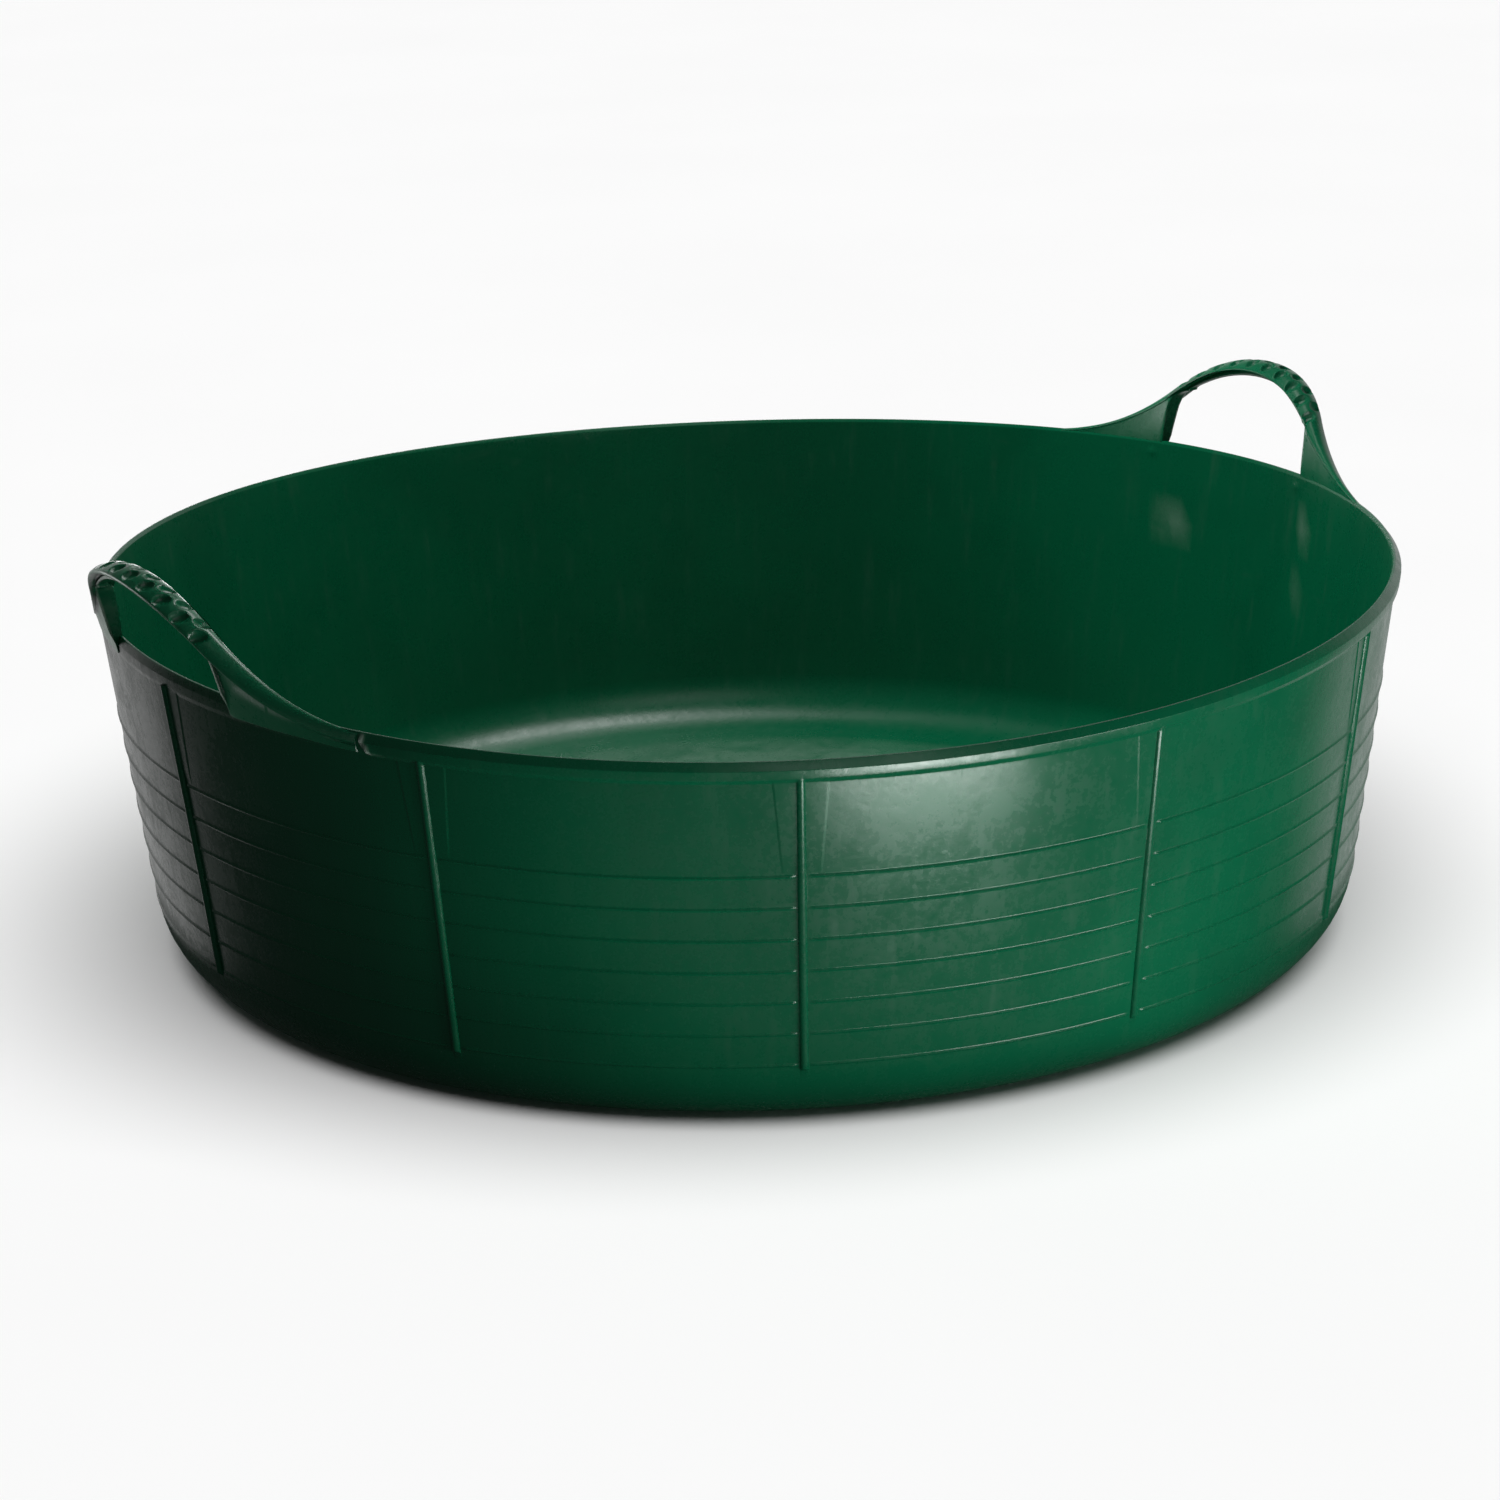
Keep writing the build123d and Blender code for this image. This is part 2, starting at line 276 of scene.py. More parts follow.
def outer_wall_rows():
    """Outer wall from below the rim band down to the heel, with rows that follow each ring."""
    heights = set()
    for index in range(RING_COUNT):
        middle = RING_FIRST + index * RING_PITCH
        heights |= {round(middle + RING_HALF_WIDTH * k / 2, 4) for k in range(-2, 3)}
        for beside in (RING_HALF_WIDTH + 0.25, RING_HALF_WIDTH + 1.0):
            heights |= {round(middle - beside, 4), round(middle + beside, 4)}
        heights.add(round(middle + RING_PITCH / 2, 4))
    heights |= {RIB_FOOT + rise for rise in (0.0, 0.3, 0.8, 1.5)}
    above_rings = RING_TOP + RING_PITCH / 2
    steps = 5
    step = (BAND_BOTTOM - 6 - above_rings) / steps
    heights |= {above_rings + step * k for k in range(1, steps + 1)}
    return [(outer_radius(z), z) for z in sorted(heights, reverse=True)]


def underside_rows():
    """Outer heel and the flat underside, with a shallow recess inside its standing ring."""
    rows = []
    steps = HEEL_STEPS - 1
    for step in range(1, steps + 1):
        angle = -DRAFT - (math.pi / 2 - DRAFT) * step / steps
        radius = HEEL_CENTRE + HEEL_RADIUS * math.cos(angle)
        rows.append((radius, HEEL_RADIUS + HEEL_RADIUS * math.sin(angle)))
    inner = HEEL_CENTRE - RECESS_INSET
    rows += [(HEEL_CENTRE - 8, 0.0), (inner + 3, 0.0), (inner + 1, 0.2), (inner - 1, RECESS_HEIGHT - 0.2)]
    rows += [(radius, RECESS_HEIGHT) for radius in (inner - 3, inner * 0.6, inner * 0.25, 6.0)]
    return rows


def rib_height(offset):
    """Half-round rib over its own middle, by distance along the wall."""
    return math.sqrt(max(RIB_RADIUS**2 - offset**2, 0))


def column_angles():
    """Angles of the columns of faces, close together at ribs, pads and the ends of the rim band."""
    mm = math.degrees(1 / outer_radius(RIM_HEIGHT / 2))
    across_rib = [0, 0.6 * mm, 1.15 * mm, 1.5 * mm, 1.68 * mm, 1.74 * mm, 2.0 * mm]
    beside_rib = [0.5, 0.7, 0.9, 1.3, 1.95, 2.06, 2.11, 2.21, 2.26, 3.0]
    between_ribs = [SLIDE_TO + 2.14 * k for k in range(5)] + [RIB_PITCH / 2]
    band_end_columns = [BAND_END_ANGLE - 0.6 + 0.15 * k for k in range(13)]
    opening_columns = [9.9 + 0.4 * k for k in range(5)]
    angles = set()
    for side in (-1, 1):
        for rib in range(RIB_COUNT):
            for away in across_rib + beside_rib + between_ribs:
                angles.add(round((rib * RIB_PITCH + side * away) % 360, 4))
        for middle in HANDLE_ANGLES:
            for away in band_end_columns + opening_columns:
                angles.add(round((middle + side * away) % 360, 4))
    return sorted(angles)


def from_nearest(angle, pitch):
    """Signed angle from the nearest multiple of a pitch."""
    return (angle + pitch / 2) % pitch - pitch / 2


def pad_edge(z):
    """Half width of the pads beside a rib, narrowing towards the rings."""
    share = min(1.0, max(0.0, (z - RING_TOP) / (BAND_BOTTOM - RING_TOP)))
    return math.degrees((PAD_FOOT_HALF + (PAD_TOP_HALF - PAD_FOOT_HALF) * share) / outer_radius(z))


def follow_pad(offset, z):
    """Slide the columns beside a rib so that one always lies on the pad's slanted edge."""
    away = abs(offset)
    if not SLIDE_FROM < away < SLIDE_TO:
        return offset
    shift = pad_edge(z) - PAD_COLUMN
    if away < PAD_COLUMN:
        weight = (away - SLIDE_FROM) / (PAD_COLUMN - SLIDE_FROM)
    else:
        weight = (SLIDE_TO - away) / (SLIDE_TO - PAD_COLUMN)
    return math.copysign(away + shift * min(1.0, weight), offset)


def outer_bump(offset, z):
    """Ribs, rings and pads on the outer wall, in millimetres proud of it."""
    away = abs(offset)
    along = math.radians(away) * outer_radius(z)
    foot = smooth(z, RIB_FOOT - 0.2, RIB_FOOT + 1.6)
    rib = rib_height(along) * foot if z >= RIB_FOOT - 0.01 else 0.0
    ring = RING_PROUD * ring_share(z) * smooth(away, RING_CLEAR_ANGLE - 0.1, RING_CLEAR_ANGLE + 0.3)
    above = smooth(z, RING_TOP + 1, RING_TOP + 9)
    edge = pad_edge(z)
    pad = PAD_PROUD * smooth(away, edge + 0.06, edge - 0.06) * above
    return max(rib, ring, pad)


def band_end(z):
    """Angle from the handle at which the rim band ends, further out lower down."""
    drop = (RIM_HEIGHT - z) / BAND_HEIGHT
    return BAND_END_ANGLE - 0.35 + BAND_END_SLANT * drop


def band_end_lip(angle, z):
    """A short raised lip where the mould has torn the end of the band a little."""
    away = abs(from_nearest(angle, 180)) - band_end(z) - 0.3
    return LIP_PROUD * math.exp(-((away / LIP_WIDTH) ** 2))


def band_share(angle, z):
    """1 where the full rim band runs and less under a handle, with a slanted end between."""
    from_handle = abs(from_nearest(angle, 180))
    end = band_end(z)
    full = smooth(from_handle, end - 0.1, end + 0.12)
    return BAND_UNDER_HANDLE + (1 - BAND_UNDER_HANDLE) * full + band_end_lip(angle, z)


def raised_spot(angle, z):
    """Small raised spots on the inside, under the corners of each hand opening."""
    middle = math.degrees(math.asin(OPENING_HALF / RIM_RADIUS)) + 0.35
    along = math.radians(abs(from_nearest(angle, 180)) - middle) * RIM_RADIUS
    away = math.hypot(along / 2.6, (z - RIM_HEIGHT + 6.0) / 2.4)
    return 0.45 * max(0.0, 1 - away**2)


def slow_wave(angle, z):
    """Slight unevenness of the moulded wall."""
    a = math.radians(angle)
    share = math.sin(math.pi * min(1.0, max(0.0, (z - HEEL_RADIUS) / (RIM_HEIGHT - HEEL_RADIUS))))
    waves = ((0.16, 5, 0.7), (0.12, 11, 2.1), (0.08, 17, z / 31))
    return share * sum(size * math.sin(count * a + phase) for size, count, phase in waves)


def spot(angle, z, middle, height, half_along, half_up):
    """1 in the middle of an oval patch of the wall and 0 outside it."""
    along = math.radians(from_nearest(angle - middle, 360)) * RIM_RADIUS / half_along
    return max(0.0, 1 - along**2 - ((z - height) / half_up) ** 2)


def scuffs_and_painted_highlights(kind, angle, radius, z):
    """Where the tub is paler: scuffs inside, a painted sheen on its floor, and a painted highlight on the
    lips at the band's ends.
    """
    if kind == "in" and z < HEEL_RADIUS:
        # painted sheen on the inside floor, fading out towards the heel
        return FLOOR_SHEEN_PALENESS * smooth(radius, HEEL_CENTRE - 4, HEEL_CENTRE - 26)
    if kind == "in":
        return SCUFF_PALENESS * max(spot(angle, z, *scuff) for scuff in SCUFFS)
    if kind == "rim" and radius > outer_radius(z) + ON_WALL and z > BAND_BOTTOM:
        # painted highlight on the lip at each end of the band
        return min(1.0, LIP_HIGHLIGHT_PALENESS * band_end_lip(angle, z))
    return 0.0


def shell_point(kind, angle, radius, z):
    """A point of the shell in metres, and how pale it is."""
    turned = angle
    if kind == "in":
        radius -= raised_spot(angle, z)
    if kind == "rim" and radius > outer_radius(z) + ON_WALL:
        radius = outer_radius(z) + (radius - outer_radius(z)) * band_share(angle, z)
    if kind == "out" or (kind == "rim" and z < BAND_BOTTOM + 1.2):
        offset = from_nearest(angle, RIB_PITCH)
        moved = follow_pad(offset, z)
        turned = angle + moved - offset
        radius = max(radius, outer_radius(z) + outer_bump(moved, z))
    if kind != "under":
        radius += slow_wave(turned, z)
    a = math.radians(turned)
    return settled(radius * math.cos(a), radius * math.sin(a), z), scuffs_and_painted_highlights(kind, angle, radius, z)


def give_inside_its_finish(piece, face_count):
    """Among the first faces, those of the floor and those that face the middle are inside."""
    for face in piece.data.polygons[:face_count]:
        middle = face.center
        facing_in = face.normal.x * middle.x + face.normal.y * middle.y < 0
        low = middle.z < HEEL_RADIUS * MM and face.normal.z > 0.2
        on_floor = low and math.hypot(middle.x, middle.y) < BASE_CORNER_RADIUS * MM
        if facing_in or on_floor:
            face.material_index = 1


def tub_shell():
    """One lathed shell: floor, heel, wall with ribs and rings, and the rim."""
    inside = [("in", r, z) for r, z in floor_rows() + inner_wall_rows()]
    rim = [("rim", r, z) for r, z in rim_rows()]
    outside = [("out", r, z) for r, z in outer_wall_rows()]
    under = [("under", r, z) for r, z in underside_rows()]
    rows = inside + rim + outside + under
    angles = column_angles()
    count = len(angles)
    made = [shell_point(kind, angle, r, z) for kind, r, z in rows for angle in angles]
    points = [point for point, share in made]
    pale = [share for point, share in made]
    faces = grid_faces(len(rows), count)
    last = (len(rows) - 1) * count
    floor_middle = len(points)
    points.append((0, 0, WALL * MM))
    points.append((0, 0, RECESS_HEIGHT * MM))
    pale += [pale[0], 0.0]
    for k in range(count):
        nxt = (k + 1) % count
        faces.append((nxt, k, floor_middle))
        faces.append((last + k, last + nxt, floor_middle + 1))
    piece = mesh_object("tub_shell", points, faces, pale)
    crest_rows = 4
    give_inside_its_finish(piece, (len(inside) + crest_rows) * count)
    return piece


# ---------------------------------------------------------------- the handles


def outline_point(s):
    """Point on a handle's bell outline and its inward direction, s millimetres from the crown."""
    side = math.copysign(1, s)
    if abs(s) < CROWN_LENGTH:
        angle = abs(s) / CROWN_RADIUS
        y = CROWN_RADIUS * math.sin(angle)
        h = HANDLE_HEIGHT - CROWN_RADIUS + CROWN_RADIUS * math.cos(angle)
    else:
        angle = (OUTLINE_LENGTH - abs(s)) / FOOT_ARC_RADIUS
        y = HANDLE_HALF_LENGTH - FOOT_ARC_RADIUS * math.sin(angle)
        h = FOOT_ARC_RADIUS - FOOT_ARC_RADIUS * math.cos(angle)
    return Vector((side * y, h)), Vector((-side * math.sin(angle), -math.cos(angle)))


def opening_side(h):
    """Half width of the opening at a height above the rim, below its shoulders."""
    return OPENING_HALF + (OPENING_SHOULDER - OPENING_HALF) * h / OPENING_SHOULDER_HEIGHT


TOP_ARC_RISE = OPENING_HEIGHT - OPENING_SHOULDER_HEIGHT
TOP_ARC = (OPENING_SHOULDER**2 + TOP_ARC_RISE**2) / (2 * TOP_ARC_RISE)
TOP_ARC_CENTRE = OPENING_HEIGHT - TOP_ARC
CORNER_Y = opening_side(OPENING_SHOULDER_HEIGHT) - OPENING_CORNER
CORNER_H = TOP_ARC_CENTRE + math.sqrt((TOP_ARC - OPENING_CORNER) ** 2 - CORNER_Y**2)


def in_opening(y, h):
    """True inside the hand opening, whose sides go on down through the rim."""
    y = abs(y)
    if y > opening_side(h) or math.hypot(y, h - TOP_ARC_CENTRE) > TOP_ARC:
        return False
    if y > CORNER_Y and h > CORNER_H:
        return math.hypot(y - CORNER_Y, h - CORNER_H) < OPENING_CORNER
    return True


def depth_to_edge(start, inward):
    """How far the handle reaches from its outline to the hand opening or to its root in the rim."""

    def is_past_edge(depth):
        point = start + inward * depth
        return in_opening(point.x, point.y) or point.y < -FOOT_DEPTH

    longest = 60
    step = 0.5
    halvings = 18
    low, high = 0.0, 0.0
    while high < longest and not is_past_edge(high):
        low = high
        high += step
    for _ in range(halvings):
        middle = (low + high) / 2
        if is_past_edge(middle):
            high = middle
        else:
            low = middle
    return low


def dimple_depth(s, across):
    """Depth of the grip's dimples, s along the crown and across from its middle."""
    depth = 0.0
    for row in (-1, 1):
        place = round(s / DIMPLE_PITCH + (DIMPLES_PER_ROW - 1) / 2 - row / 4)
        if not 0 <= place < DIMPLES_PER_ROW:
            continue
        centre = (place - (DIMPLES_PER_ROW - 1) / 2 + row / 4) * DIMPLE_PITCH
        along = (s - centre) / DIMPLE_HALF_ALONG
        aside = (across - row * DIMPLE_ROW_OFFSET) / DIMPLE_HALF_ACROSS
        away = along**2 + aside**2
        if away < 1:
            depth = max(depth, DIMPLE_DEPTH * (1 - away) ** 0.6)
    return depth


class Cut:
    """Measures of a handle's section, s along its outline; depths run in from the outline."""

    def __init__(self, s):
        self.s = s
        self.start, self.inward = outline_point(s)
        self.reach = depth_to_edge(self.start, self.inward)
        self.share = max(0.0, self.start.y / HANDLE_HEIGHT)
        self.crown = smooth(self.share, 0.1, 0.8)
        self.inner = GRIP_INNER * self.share
        self.outer = FOOT_OUTER + (GRIP_OUTER - FOOT_OUTER) * self.share**0.9
        self.drop_in = 0.35 + 2.7 * self.crown
        self.drop_out = 2.9 - 0.6 * self.crown
        self.edge_in = self.drop_in + GRIP_EDGE
        self.edge_out = self.drop_out + GRIP_EDGE
        self.under_in = min(self.edge_in + 0.5 * self.crown, self.reach * 0.55)
        self.under_out = min(self.edge_out + 0.8 * self.crown, self.reach * 0.75)
        self.bead_from = max(self.reach - BEAD_WIDTH, self.under_out + 0.1)
        end = self.start + self.inward * self.reach
        at_leg = smooth(OPENING_HALF + 8 - abs(end.x), 0, 4)
        self.bead = BEAD_PROUD * smooth(end.y, -3.0, 1.0) * at_leg
        # painted glint along the bead of the opening, strongest low on one leg
        self.bead_glint_paleness = self.bead * (0.4 + 0.6 * smooth(s, 0, OPENING_HALF) * smooth(end.y, 20, 12))

    def height(self, depth):
        return self.start.y + self.inward.y * depth

    def web_out(self, depth):
        return max(WEB_THICKNESS + WEB_SLOPE * self.height(depth), 1.0)

    def web_in(self, depth):
        """Inner face of the web: flush with the grip at the legs, set back under the crown."""
        height = max(self.height(depth), 0)
        flush = GRIP_INNER * height / HANDLE_HEIGHT + 0.15
        set_back = max(WEB_SET_BACK * height, flush)
        return flush + (set_back - flush) * smooth(abs(self.start.x), 54, 43)


def grip_top(cut):
    """Crowned top of the grip with its dimples, from its inner to its outer edge."""
    middle = (cut.inner + cut.outer) / 2
    crest = (1 - cut.crown) * (cut.inner + 1.2) + cut.crown * middle
    top = []
    for k in range(GRIP_TOP_STEPS + 1):
        x = cut.inner + 0.35 + (cut.outer - cut.inner - 0.7) * k / GRIP_TOP_STEPS
        if x < crest:
            depth = cut.drop_in * ((crest - x) / (crest - cut.inner)) ** 2.2
        else:
            depth = cut.drop_out * ((x - crest) / (cut.outer - crest)) ** 2.0
        top.append((x, depth + dimple_depth(cut.s, x - middle) * smooth(cut.share, 0.3, 0.5)))
    return top


def grip_outer_edge(cut):
    """Rounded outer edge of the grip and its underside, in to the web."""
    outer = cut.outer
    drop = cut.drop_out
    meet = min(cut.web_out(cut.under_out), outer - 0.5)
    return [
        (outer - 0.08, drop + 0.22),
        (outer, drop + 0.55),
        (outer - 0.08, cut.edge_out - 0.25),
        (outer - 0.4, cut.edge_out),
        (meet + 0.45 * (outer - meet), cut.edge_out + 0.1 * cut.crown),
        (min(meet + 0.9, outer - 0.45), max(cut.under_out - 0.25, cut.edge_out)),
        (meet, cut.under_out + 0.5),
    ]


def web_outside(cut):
    """Outer face of the web, from the grip down to the bead."""
    half_way = (cut.under_out + cut.bead_from) / 2
    return [
        (cut.web_out(half_way), half_way + 0.25),
        (cut.web_out(cut.bead_from), max(cut.bead_from, cut.under_out + 0.6)),
    ]


def opening_bead(cut):
    """Raised edge of the hand opening."""
    bead = []
    for share_up, out in BEAD_SHAPE:
        depth = max(cut.reach - (cut.reach - cut.bead_from) * share_up, cut.under_out + 0.65)
        bead.append((cut.web_out(depth) + cut.bead * out, min(depth, cut.reach)))
    return bead


def web_edge_and_inside(cut):
    """Edge of the opening and the web's inner face, back up to the grip."""
    outside = cut.web_out(cut.reach)
    inside = cut.web_in(cut.reach)
    line = [
        (outside - 0.1, cut.reach),
        ((outside + inside) / 2, cut.reach),
        (inside + 0.45, cut.reach),
        (inside + 0.1, cut.reach - 0.12),
        (inside, cut.reach - 0.5),
    ]
    for part in (0.66, 0.33):
        depth = cut.under_in + (cut.reach - cut.under_in) * part
        line.append((cut.web_in(depth), depth))
    return line


def grip_inner_edge(cut):
    """Underside and rounded inner edge of the grip."""
    inner = cut.inner
    face = cut.web_in(cut.under_in)
    edge = min(cut.under_in, cut.edge_in)
    return [
        (face, cut.under_in + 0.55),
        (face - (face - inner) * 0.15, cut.under_in + 0.1),
        (face - (face - inner) * 0.55, edge),
        (inner + 0.12, edge - 0.05),
        (inner, edge - 0.35),
        (inner, cut.drop_in + 0.35),
        (inner + 0.1, cut.drop_in + 0.12),
    ]


def handle_section(s):
    """Closed section of the handle at s: offset from the rim radius, along, height and paleness, which is
    a painted glint on the bead.
    """
    cut = Cut(s)
    before = grip_top(cut) + grip_outer_edge(cut) + web_outside(cut)
    bead = opening_bead(cut)
    loop = before + bead + web_edge_and_inside(cut) + grip_inner_edge(cut)
    sink = 0.5 * smooth(abs(s), OUTLINE_LENGTH - 26, OUTLINE_LENGTH)
    section = []
    for index, (x, depth) in enumerate(loop):
        point = cut.start + cut.inward * depth
        on_bead = len(before) < index < len(before) + len(bead)
        section.append((x, point.x, point.y - sink, cut.bead_glint_paleness if on_bead else 0.0))
    return section


def handle_stations():
    """Places along the outline, close together where the dimples are."""
    close = 0.6
    wide = 1.3
    half = [close * k for k in range(int((CROWN_LENGTH + 3) / close))]
    while half[-1] < OUTLINE_LENGTH - 1.4:
        half.append(half[-1] + wide)
    half.append(OUTLINE_LENGTH - 0.01)
    return [-s for s in reversed(half[1:])] + half


def handle(side, facing):
    """A whole handle in one skin; facing is 1 for the right side and -1 for the left."""
    points = []
    pale = []
    stations = handle_stations()
    turn = Matrix.Rotation(TURN[side], 3, "Z")
    for s in stations:
        for x, y, h, share in handle_section(s):
            pale.append(share)
            out = RIM_RADIUS + x + LEAN_OUT[side] * smooth(h, 0, LEAN_CURVE * HANDLE_HEIGHT) * LEAN_CURVE
            place = turn @ Vector((facing * math.sqrt(out**2 - y**2), facing * y, h))
            points.append(settled(place.x, place.y, RIM_HEIGHT + h))
    size = len(points) // len(stations)
    faces = grid_faces(len(stations), size)
    faces.append(tuple(range(size)))
    faces.append(tuple(reversed(range(len(points) - size, len(points)))))
    return mesh_object(f"{side}_handle_skin", points, faces, pale)


# ---------------------------------------------------------------- materials


class Nodes:
    """Short calls for building one material's node tree."""

    def __init__(self, name):
        self.material = bpy.data.materials.new(name)
        self.material.use_nodes = True
        self.tree = self.material.node_tree
        self.shader = self.tree.nodes["Principled BSDF"]
        self.place = self.add("ShaderNodeTexCoord").outputs["Object"]

    def add(self, kind, **inputs):
        node = self.tree.nodes.new(kind)
        for key, value in inputs.items():
            self.put(node.inputs[key.replace("_", " ")], value)
        return node

    def put(self, socket, value):
        if isinstance(value, bpy.types.NodeSocket):
            self.tree.links.new(value, socket)
        else:
            socket.default_value = value

    def noise(self, scale, detail=3.0, rough=0.5, distortion=0.0, stretch=None):
        node = self.add("ShaderNodeTexNoise", Scale=scale, Detail=detail, Roughness=rough)
        node.inputs["Distortion"].default_value = distortion
        vector = self.place
        if stretch is not None:
            mapping = self.add("ShaderNodeMapping", Scale=stretch)
            self.put(mapping.inputs["Vector"], self.place)
            vector = mapping.outputs["Vector"]
        self.put(node.inputs["Vector"], vector)
        return node.outputs["Fac"]

    def span(self, value, low, high, to_low=0.0, to_high=1.0):
        node = self.add("ShaderNodeMapRange")
        node.interpolation_type = "SMOOTHSTEP"
        self.put(node.inputs["Value"], value)
        ends = {"From Min": low, "From Max": high, "To Min": to_low, "To Max": to_high}
        for key, number in ends.items():
            self.put(node.inputs[key], number)
        return node.outputs["Result"]

    def math(self, operation, first, second):
        node = self.add("ShaderNodeMath")
        node.operation = operation
        self.put(node.inputs[0], first)
        self.put(node.inputs[1], second)
        return node.outputs[0]

    def mix(self, share, first, second):
        node = self.add("ShaderNodeMix")
        node.data_type = "RGBA"
        self.put(node.inputs["Factor"], share)
        self.put(node.inputs["A"], first)
        self.put(node.inputs["B"], second)
        return node.outputs["Result"]

    def bump(self, height, distance, strength, below=None):
        node = self.add("ShaderNodeBump", Strength=strength, Distance=distance)
        self.put(node.inputs["Height"], height)
        if below is not None:
            self.put(node.inputs["Normal"], below)
        return node.outputs["Normal"]


GREEN = (0.0004, 0.118, 0.049, 1)
DEEP_GREEN = (0.0003, 0.096, 0.040, 1)
DUST = (0.075, 0.155, 0.115, 1)
# pale green for the scuffs, and for the painted highlights on the band's ends, the bead and the inside
# floor
PALE = (0.66, 0.78, 0.69, 1)


def polyethylene(name, dust=0.06, rough=0.27, mottle=0.10):
    """Semi-gloss green plastic with clouded gloss, drag marks, fine scratches and a little dust."""
    n = Nodes(name)
    clouds = n.span(n.noise(7, 3, 0.55, 0.4), 0.35, 0.65)
    patches = n.span(n.noise(48, 9, 0.72, 0.2), 0.25, 0.75)
    grain = n.noise(420, 4, 0.6)
    drags = n.span(n.noise(1, 4, 0.6, 0.0, (150, 150, 9)), 0.52, 0.72)
    scuffs = n.span(n.noise(1, 5, 0.7, 0.6, (26, 26, 70)), 0.60, 0.74)
    colour = n.mix(clouds, DEEP_GREEN, GREEN)
    worn = n.math("MULTIPLY", n.math("MAXIMUM", drags, scuffs), patches)
    colour = n.mix(n.math("MULTIPLY", worn, dust), colour, DUST)
    # the 'pale' attribute carries scuffs and painted highlights
    pale_marks = n.add("ShaderNodeAttribute")
    pale_marks.attribute_name = "pale"
    broken = n.span(n.noise(60, 5, 0.65, 0.5), 0.30, 0.62, 0.35, 1.0)
    pale = n.math("MULTIPLY", pale_marks.outputs["Fac"], broken)
    colour = n.mix(pale, colour, PALE)
    n.put(n.shader.inputs["Base Color"], colour)
    roughness = n.span(patches, 0.0, 1.0, rough - mottle / 2, rough + mottle / 2)
    roughness = n.math("ADD", roughness, n.span(grain, 0.3, 0.7, -0.035, 0.035))
    roughness = n.math("ADD", roughness, n.math("MULTIPLY", worn, 0.10))
    n.put(n.shader.inputs["Roughness"], roughness)
    n.shader.inputs["IOR"].default_value = 1.5
    peel = n.bump(n.noise(95, 3, 0.5), 0.0004, 0.20)
    n.put(n.shader.inputs["Normal"], n.bump(grain, 0.00012, 0.35, peel))
    return n.material


def pale_floor():
    """Matt, nearly white and very slightly uneven."""
    n = Nodes("pale_floor")
    tone = n.mix(n.noise(3, 2), (0.90, 0.90, 0.90, 1), (0.93, 0.93, 0.93, 1))
    n.put(n.shader.inputs["Base Color"], tone)
    n.shader.inputs["Roughness"].default_value = 0.9
    n.shader.inputs["Specular IOR Level"].default_value = 0.1
    return n.material


# ---------------------------------------------------------------- camera, floor and lights

CAMERA_AZIMUTH = math.radians(-33.6)
CAMERA_ELEVATION = math.radians(17.902)
CAMERA_ROLL = math.radians(-1.58)
CAMERA_DISTANCE = 1.6931
AIM_HEIGHT = 0.0702
AIM_SIDE = -0.00084
LENS = 90.92

FLOOR_HALF = 14.0
SHADE_RADIUS = 0.292
SHADE_DROP = 0.0003
CARD_HEIGHT = 0.004
BACKDROP = 0.95  # what the camera sees behind the floor
BRIGHT_SIDE = 179.0  # where the studio is brightest, by angle from the camera
LAMP_POWER = {
    "floor_light": 3.25,
    "low_key": 2.6,
    "low_back": 1.5,
    "over_left": 1.3,
    "over_right": 0.6,
    "high_front": 1.3,
    "grip_side": 6.0,
    "card": 2.9,
    "bounce": 0.6,
}
AMBIENT = 0.035
BEHIND = 0.58


def make_camera():
    """Looks at a point just above the tub's middle, with a slight roll."""
    data = bpy.data.cameras.new("camera")
    data.lens = LENS
    data.sensor_width = 36
    camera = bpy.data.objects.new("camera", data)
    bpy.context.scene.collection.objects.link(camera)
    level = math.cos(CAMERA_ELEVATION)
    forward = Vector(
        (
            -math.sin(CAMERA_AZIMUTH) * level,
            math.cos(CAMERA_AZIMUTH) * level,
            -math.sin(CAMERA_ELEVATION),
        )
    )
    right = Vector((math.cos(CAMERA_AZIMUTH), math.sin(CAMERA_AZIMUTH), 0))
    up = right.cross(forward)
    tilted_right = right * math.cos(CAMERA_ROLL) + up * math.sin(CAMERA_ROLL)
    tilted_up = up * math.cos(CAMERA_ROLL) - right * math.sin(CAMERA_ROLL)
    matrix = Matrix((tilted_right, tilted_up, -forward)).transposed().to_4x4()
    matrix.translation = right * AIM_SIDE + Vector((0, 0, AIM_HEIGHT)) - forward * CAMERA_DISTANCE
    camera.matrix_world = matrix
    bpy.context.scene.camera = camera


def around(angle, elevation, distance):
    """A place round the tub: angle 0 is towards the camera and 90 is to its right, in degrees."""
    a = CAMERA_AZIMUTH - math.pi / 2 + math.radians(angle)
    e = math.radians(elevation)
    return Vector((math.cos(a) * math.cos(e), math.sin(a) * math.cos(e), math.sin(e))) * distance


def shine_on(lamp, target):
    """The floor and the handles have lamps of their own, and the other lamps light all but the floor."""
    name = f"{target}_lamps"
    group = bpy.data.collections.get(name)
    if group is None:
        group = bpy.data.collections.new(name)
        if target != "handles":
            group.objects.link(bpy.data.objects["floor"])
        if target == "tub":
            group.collection_objects[0].light_linking.link_state = "EXCLUDE"
    lamp.light_linking.receiver_collection = group


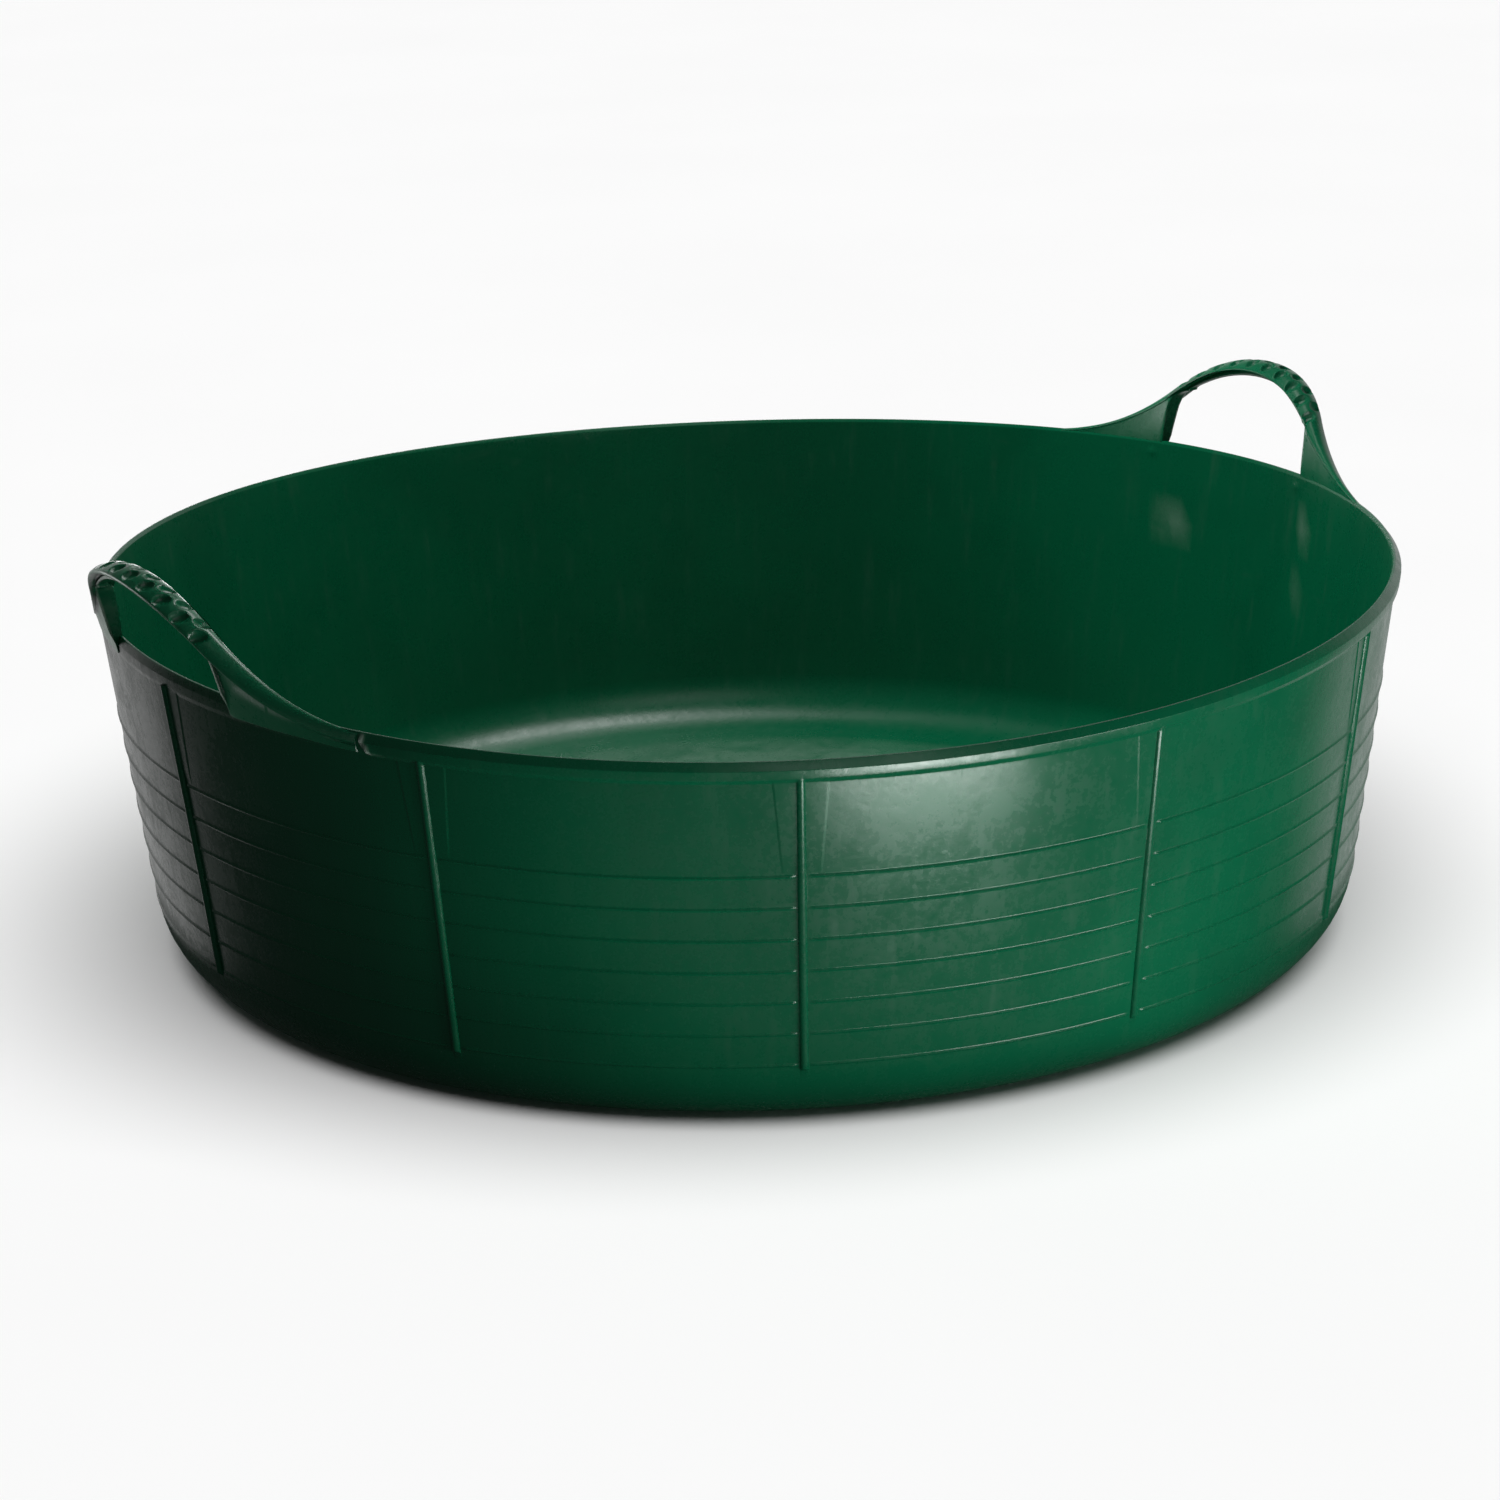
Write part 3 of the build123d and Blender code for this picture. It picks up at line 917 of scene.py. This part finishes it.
def soft_box(name, angle, out, height, size, aim=(0, 0, 0.1), spread=180, target="tub", glossy=True):
    """A soft lamp at a height, out from the tub's middle and turned towards a point."""
    data = bpy.data.lights.new(name, "AREA")
    data.shape = "RECTANGLE"
    data.size, data.size_y = size
    data.energy = LAMP_POWER[name]
    data.spread = math.radians(spread)
    lamp = bpy.data.objects.new(name, data)
    bpy.context.scene.collection.objects.link(lamp)
    lamp.location = around(angle, 0, out) + Vector((0, 0, height))
    lamp.rotation_euler = (Vector(aim) - lamp.location).to_track_quat("-Z", "Y").to_euler()
    lamp.visible_camera = False
    lamp.visible_glossy = glossy
    shine_on(lamp, target)


def sun(name, angle, elevation, spread, target):
    """A distant lamp, as wide in the sky as its spread."""
    data = bpy.data.lights.new(name, "SUN")
    data.angle = math.radians(spread)
    data.energy = LAMP_POWER[name]
    lamp = bpy.data.objects.new(name, data)
    bpy.context.scene.collection.objects.link(lamp)
    lamp.rotation_euler = (-around(angle, elevation, 1)).to_track_quat("-Z", "Y").to_euler()
    shine_on(lamp, target)


def floor_card(name, angle, near, far, width, glossy):
    """A panel lying before the tub, either mirrored in its wall or lighting it softly from below."""
    data = bpy.data.lights.new(name, "AREA")
    data.shape = "RECTANGLE"
    data.size = width
    data.size_y = far - near
    data.energy = LAMP_POWER[name]
    lamp = bpy.data.objects.new(name, data)
    bpy.context.scene.collection.objects.link(lamp)
    away = around(angle, 0, (near + far) / 2)
    lamp.location = (away.x, away.y, CARD_HEIGHT)
    lamp.rotation_euler = (math.pi, 0, math.atan2(away.y, away.x) + math.pi / 2)
    lamp.visible_camera = False
    lamp.visible_glossy = glossy
    lamp.visible_diffuse = not glossy
    shine_on(lamp, "tub")


def make_world(ambient, behind):
    """A pale studio that is brighter low behind the tub, where its sides mirror it."""
    world = bpy.data.worlds.new("studio")
    bpy.context.scene.world = world
    world.use_nodes = True
    tree = world.node_tree

    def ramp(value, low, high, to_low, to_high):
        node = tree.nodes.new("ShaderNodeMapRange")
        node.interpolation_type = "SMOOTHSTEP"
        tree.links.new(value, node.inputs["Value"])
        for key, number in (("From Min", low), ("From Max", high)):
            node.inputs[key].default_value = number
        for key, number in (("To Min", to_low), ("To Max", to_high)):
            if isinstance(number, bpy.types.NodeSocket):
                tree.links.new(number, node.inputs[key])
            else:
                node.inputs[key].default_value = number
        return node.outputs["Result"]

    direction = tree.nodes.new("ShaderNodeTexCoord").outputs["Generated"]
    towards_back = tree.nodes.new("ShaderNodeVectorMath")
    towards_back.operation = "DOT_PRODUCT"
    tree.links.new(direction, towards_back.inputs[0])
    towards_back.inputs[1].default_value = around(BRIGHT_SIDE, 0, 1)
    parts = tree.nodes.new("ShaderNodeSeparateXYZ")
    tree.links.new(direction, parts.inputs[0])
    low_band = ramp(parts.outputs["Z"], 0.30, 0.55, behind, ambient)
    strength = ramp(towards_back.outputs["Value"], 0.42, 0.68, ambient, low_band)
    rays = tree.nodes.new("ShaderNodeLightPath").outputs["Is Camera Ray"]
    strength = ramp(rays, 0.0, 1.0, strength, BACKDROP)
    background = tree.nodes["Background"]
    background.inputs["Color"].default_value = (1, 1, 1, 1)
    tree.links.new(strength, background.inputs["Strength"])


def make_floor():
    """A wide pale floor, and a hidden disc that stands for it in the tub's own reflections."""
    half = FLOOR_HALF
    corners = [(-half, -half, 0), (half, -half, 0), (half, half, 0), (-half, half, 0)]
    floor = mesh_object("floor", corners, [(0, 1, 2, 3)])
    floor.data.materials.append(pale_floor())
    floor.visible_glossy = False
    floor.visible_diffuse = False
    rim = [around(10 * k, 0, SHADE_RADIUS) - Vector((0, 0, SHADE_DROP)) for k in range(36)]
    shade = mesh_object("floor_shade", rim, [tuple(range(36))])
    shade.data.materials.append(pale_floor())
    shade.visible_camera = False
    shade.visible_diffuse = False
    shade.visible_shadow = False


def make_lights():
    """Low lamps light the outer wall, and lamps above the mouth light the inside."""
    right_wall = around(105, 0, 0.27) + Vector((0, 0, 0.10))
    left_wall = around(-120, 0, 0.27) + Vector((0, 0, 0.10))
    above = (0.32, 0.32)
    sun("floor_light", 20, 75, 70, "floor")
    soft_box("low_key", 43, 0.85, 0.09, (0.45, 0.16))
    soft_box("low_back", -165, 0.95, 0.09, (0.6, 0.16))
    soft_box("over_left", -150, 0.26, 0.75, above, aim=right_wall, spread=90, glossy=False)
    soft_box("over_right", 150, 0.26, 0.75, above, aim=left_wall, spread=90)
    soft_box("high_front", 20, 1.1, 1.3, (0.7, 0.7))
    soft_box("grip_side", -98, 1.2, 0.15, (0.8, 0.6), target="handles")
    floor_card("card", 22, 0.50, 0.74, 0.22, glossy=True)
    floor_card("bounce", 20, 0.31, 0.55, 0.6, glossy=False)
    make_world(AMBIENT, BEHIND)


# ---------------------------------------------------------------- the object


def tub_nodes():
    """Every CAD node of the tub's own body, apart from the handles' feet."""
    names = frame["record"]["behaviour"]["bodies"]["tub"]
    return [name for name in names if not name.endswith("_foot")]


def make_tub():
    """One skin for the tub's whole body, with a finish for its outside and one for its inside."""
    outside = polyethylene("polyethylene_outside")
    inside = polyethylene("polyethylene_inside", dust=0.14, rough=0.30, mottle=0.08)
    shell = tub_shell()
    shell.data.materials.append(outside)
    shell.data.materials.append(inside)
    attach(shell, "tub")
    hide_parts(*tub_nodes())


def make_handles():
    """Each handle as one skin with the grip's finish, in place of its CAD nodes and feet, lit by the
    handles' own lamp.
    """
    finish = polyethylene("polyethylene_grip", dust=0.10, rough=0.30, mottle=0.08)
    for side, facing in (("right", 1), ("left", -1)):
        piece = handle(side, facing)
        piece.data.materials.append(finish)
        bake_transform(piece)
        moving = frame["record"]["behaviour"]["bodies"][f"{side}_handle"]
        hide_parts(f"{side}_back_foot", f"{side}_front_foot", *moving)
        bpy.data.collections["handles_lamps"].objects.link(piece)


make_camera()
make_floor()
make_lights()
make_tub()
make_handles()
bpy.context.scene.view_settings.view_transform = "Standard"
